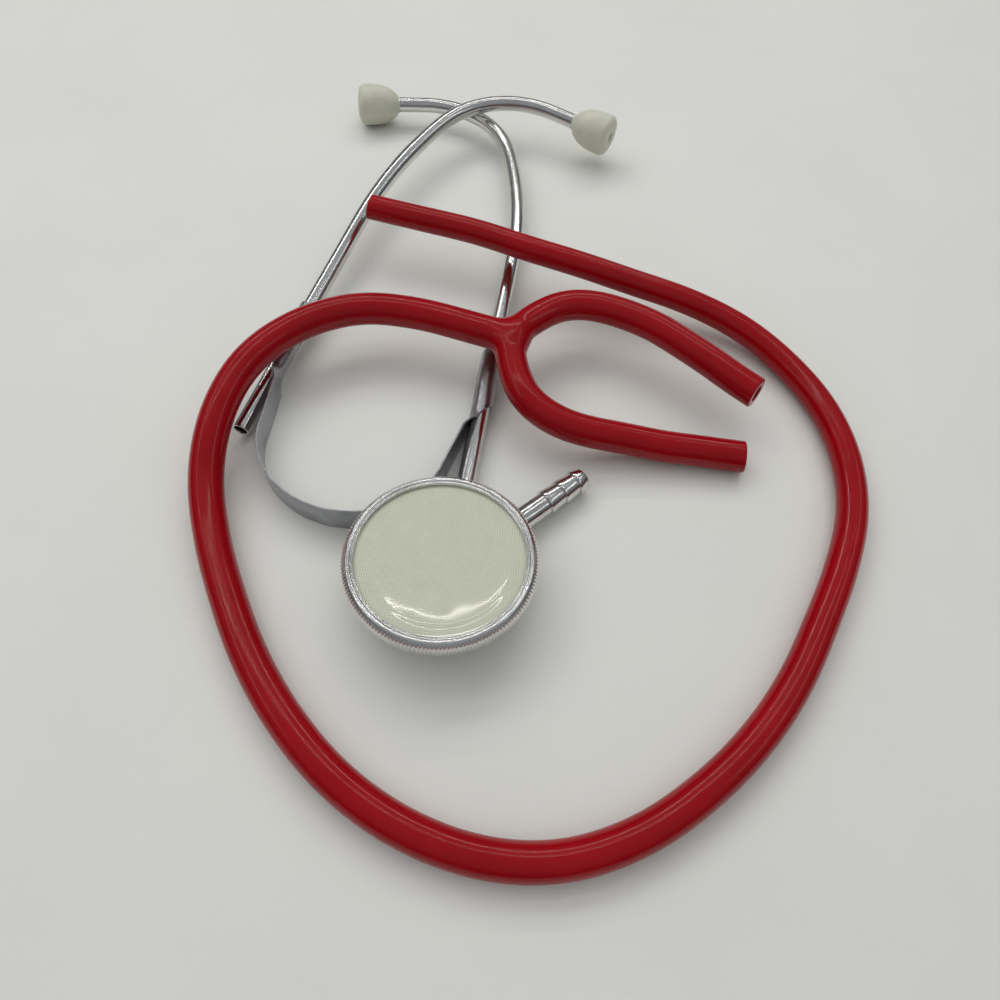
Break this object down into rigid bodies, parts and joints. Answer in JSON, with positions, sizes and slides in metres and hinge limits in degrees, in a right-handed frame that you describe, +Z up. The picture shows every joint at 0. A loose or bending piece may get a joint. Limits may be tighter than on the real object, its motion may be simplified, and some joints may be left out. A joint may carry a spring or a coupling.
{
  "type": "stethoscope",
  "caption": "Single-head stethoscope taken apart: sprung ear tubes with ear tips, a round chestpiece with a barbed stem, and glossy Y tubing curled in a loop.",
  "frame": {"origin": "on the table under the middle of the hard parts' box (headset and chestpiece)", "axes": "+Z up from the table, +Y from the chestpiece towards the ear tips, +X to the right"},
  "size_m": [0.1805, 0.2591, 0.0191],
  "materials": {
    "spring_steel": "satin grey spring strip",
    "chrome": "polished chrome plate",
    "cast_alloy": "satin chrome plate on a casting",
    "ear_tip_plastic": "matt off-white hard plastic",
    "glass_resin": "pale greenish glass-fibre resin sheet with a fine weave",
    "gasket_rubber": "matt black",
    "red_vinyl": "glossy deep red vinyl"
  },
  "bodies": {
    "spring": {"spring_bow": "spring_steel"},
    "left_arm": {"spring_leg_left": "spring_steel", "ear_tube_left": "chrome"},
    "right_arm": {"spring_leg_right": "spring_steel", "ear_tube_right": "chrome"},
    "left_tip": {"ear_tip_left": "ear_tip_plastic"},
    "right_tip": {"ear_tip_right": "ear_tip_plastic"},
    "chestpiece": {"chestpiece_body": "cast_alloy", "stem": "chrome", "gasket": "gasket_rubber"},
    "diaphragm_disc": {"diaphragm": "glass_resin"},
    "ring": {"retaining_ring": "chrome"},
    "tubing": {"tubing_main": "red_vinyl", "yoke": "red_vinyl", "tubing_arm_far": "red_vinyl", "tubing_arm_near": "red_vinyl"}
  },
  "joints": [
    {"name": "left_leg_flex", "type": "hinge", "parent": "spring", "child": "left_arm", "pos_m": [-0.04208, -0.05679, 0.0045], "axis": [0, 0, 1], "range_deg": [0, 5], "stiffness_Nm_per_rad": 1.5},
    {"name": "right_leg_flex", "type": "hinge", "parent": "spring", "child": "right_arm", "pos_m": [-0.00072, -0.06408, 0.0045], "axis": [0, 0, -1], "range_deg": [0, 5], "stiffness_Nm_per_rad": 1.5},
    {"name": "left_tip_pull", "type": "slide", "parent": "left_arm", "child": "left_tip", "axis": [0.899, -0.4346, -0.0541], "range_m": [0, 0.012]},
    {"name": "right_tip_pull", "type": "slide", "parent": "right_arm", "child": "right_tip", "axis": [-0.9949, -0.1011, 0.0035], "range_m": [0, 0.012]},
    {"name": "chestpiece_lift", "type": "slide", "parent": "spring", "child": "chestpiece", "axis": [0, 0, 1], "range_m": [0, 0.06]},
    {"name": "ring_unscrew", "type": "slide", "parent": "chestpiece", "child": "ring", "axis": [0, 0.0593, 0.9982], "range_m": [0, 0.012]},
    {"name": "diaphragm_lift", "type": "slide", "parent": "chestpiece", "child": "diaphragm_disc", "axis": [0, 0.0593, 0.9982], "range_m": [0, 0.006]},
    {"name": "tubing_lift", "type": "slide", "parent": "spring", "child": "tubing", "axis": [0, 0, 1], "range_m": [0, 0.08]}
  ],
  "couplings": [
    {"joint": "diaphragm_lift", "follows": "ring_unscrew", "ratio": 0.5}
  ]
}
